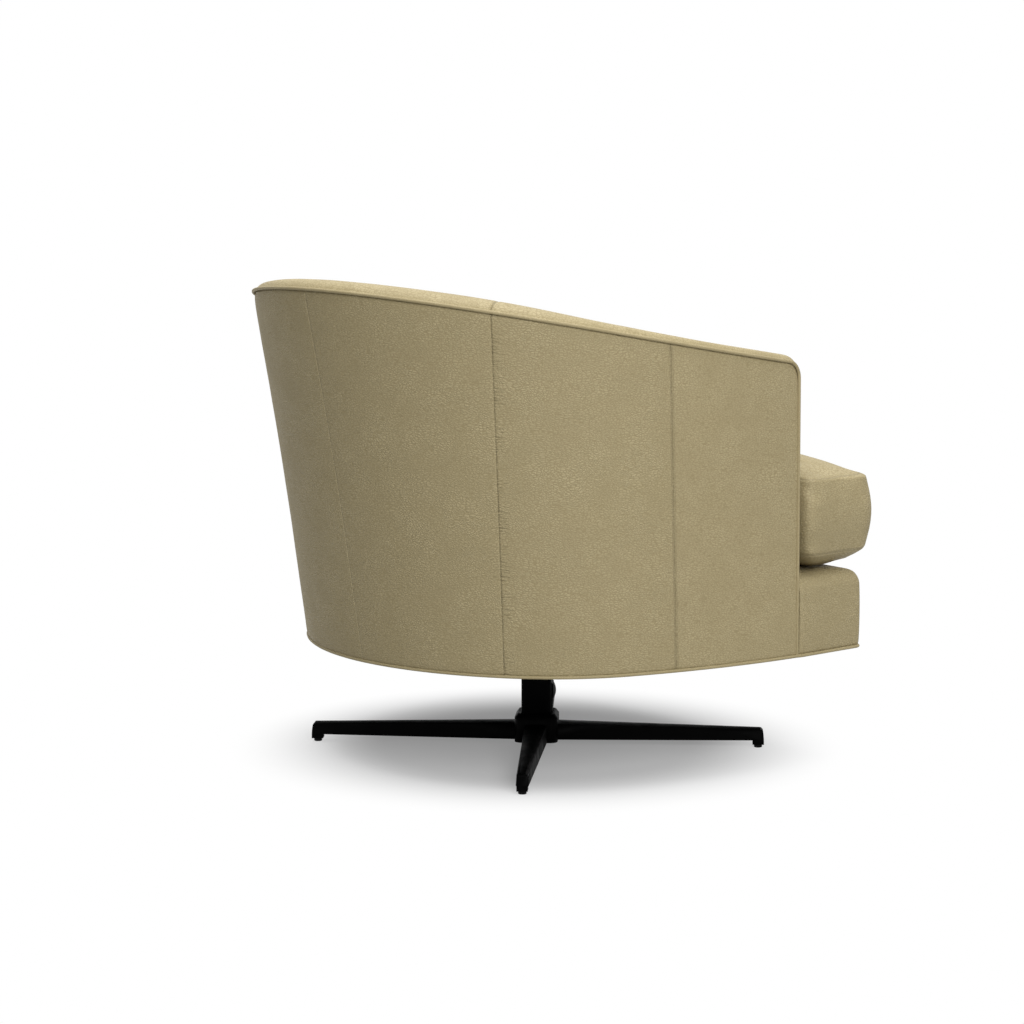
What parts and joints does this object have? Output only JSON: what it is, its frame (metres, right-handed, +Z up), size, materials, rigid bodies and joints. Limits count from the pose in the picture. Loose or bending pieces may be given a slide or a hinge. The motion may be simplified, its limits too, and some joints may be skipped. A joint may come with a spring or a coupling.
{
  "type": "leather swivel chair",
  "caption": "Leather barrel chair with a wraparound raked back, piped seams, a loose T-shaped seat cushion and a black star base on a swivel column.",
  "frame": {"origin": "on the floor under the middle of the chair's footprint; the swivel axis stands 52.4 mm in front of it", "axes": "+Z up, the chair's front at -Y, the sitter's left at +X"},
  "size_m": [0.804, 0.7791, 0.7241],
  "materials": {
    "leather": "pebbled semi-aniline hide, satin",
    "foam": "polyurethane foam under wadding",
    "felt": "needled felt",
    "dust_cloth": "thin black non-woven cloth",
    "plywood": "sanded birch plywood",
    "hardwood": "planed beech",
    "black_metal": "satin black powder coat",
    "black_plastic": "moulded black nylon",
    "nylon": "natural nylon",
    "steel": "zinc-plated steel",
    "zip_tape": "woven zip tape with coil"
  },
  "bodies": {
    "base": {"base_casting": "black_metal", "column_sleeve": "black_metal", "column_collar": "black_plastic", "boss_cap": "black_plastic", "hub_bolt_and_washer": "steel", "lower_bush": "nylon", "upper_bush": "nylon", "lower_race": "steel", "bearing_rollers": "steel", "bearing_cage": "nylon"},
    "seat": {"swivel_spindle": "steel", "retaining_ring": "steel", "upper_race": "steel", "seat_plate": "black_metal", "plate_bolts": "steel", "plate_tee_nuts": "steel", "seat_board": "plywood", "spring_rail_front": "hardwood", "spring_rail_back": "hardwood", "spring_side_rails": "hardwood", "seat_springs": "steel", "spring_clips": "steel", "spring_felt": "felt", "deck_foam": "foam", "top_rail": "plywood", "frame_posts_left": "hardwood", "frame_posts_right": "hardwood", "arm_front_board_left": "plywood", "arm_front_board_right": "plywood", "outer_back_panel_left": "leather", "outer_back_panel_right": "leather", "outer_shoulder_panel_left": "leather", "outer_shoulder_panel_right": "leather", "outer_arm_panel_left": "leather", "outer_arm_panel_right": "leather", "outer_rim_welt": "leather", "inner_rim_welt": "leather", "rim_band_back": "leather", "rim_band_left": "leather", "rim_band_right": "leather", "bottom_welt": "leather", "inner_back_pad": "leather", "inner_arm_pad_left": "leather", "inner_arm_pad_right": "leather", "apron_panel": "leather", "apron_rail": "plywood", "apron_pad": "leather", "dust_cover": "dust_cloth"},
    "seat_cushion": {"cushion_core": "foam", "cushion_boxing": "leather", "cushion_zip": "zip_tape", "cushion_top": "leather", "cushion_bottom": "leather"},
    "back_left_glide": {"glide_back_left": "black_plastic"},
    "back_right_glide": {"glide_back_right": "black_plastic"},
    "front_right_glide": {"glide_front_right": "black_plastic"},
    "front_left_glide": {"glide_front_left": "black_plastic"}
  },
  "joints": [
    {"name": "swivel", "type": "hinge", "parent": "base", "child": "seat", "pos_m": [0, -0.05239, 0.155], "axis": [0, 0, 1], "continuous": true},
    {"name": "cushion_lift", "type": "slide", "parent": "seat", "child": "seat_cushion", "axis": [0, 0, 1], "range_m": [0, 0.45]},
    {"name": "back_left_glide_turn", "type": "hinge", "parent": "base", "child": "back_left_glide", "pos_m": [0.24042, 0.18802, 0.01], "axis": [0, 0, 1], "continuous": true},
    {"name": "back_right_glide_turn", "type": "hinge", "parent": "base", "child": "back_right_glide", "pos_m": [-0.24042, 0.18802, 0.01], "axis": [0, 0, 1], "continuous": true},
    {"name": "front_right_glide_turn", "type": "hinge", "parent": "base", "child": "front_right_glide", "pos_m": [-0.24042, -0.29281, 0.01], "axis": [0, 0, 1], "continuous": true},
    {"name": "front_left_glide_turn", "type": "hinge", "parent": "base", "child": "front_left_glide", "pos_m": [0.24042, -0.29281, 0.01], "axis": [0, 0, 1], "continuous": true}
  ]
}
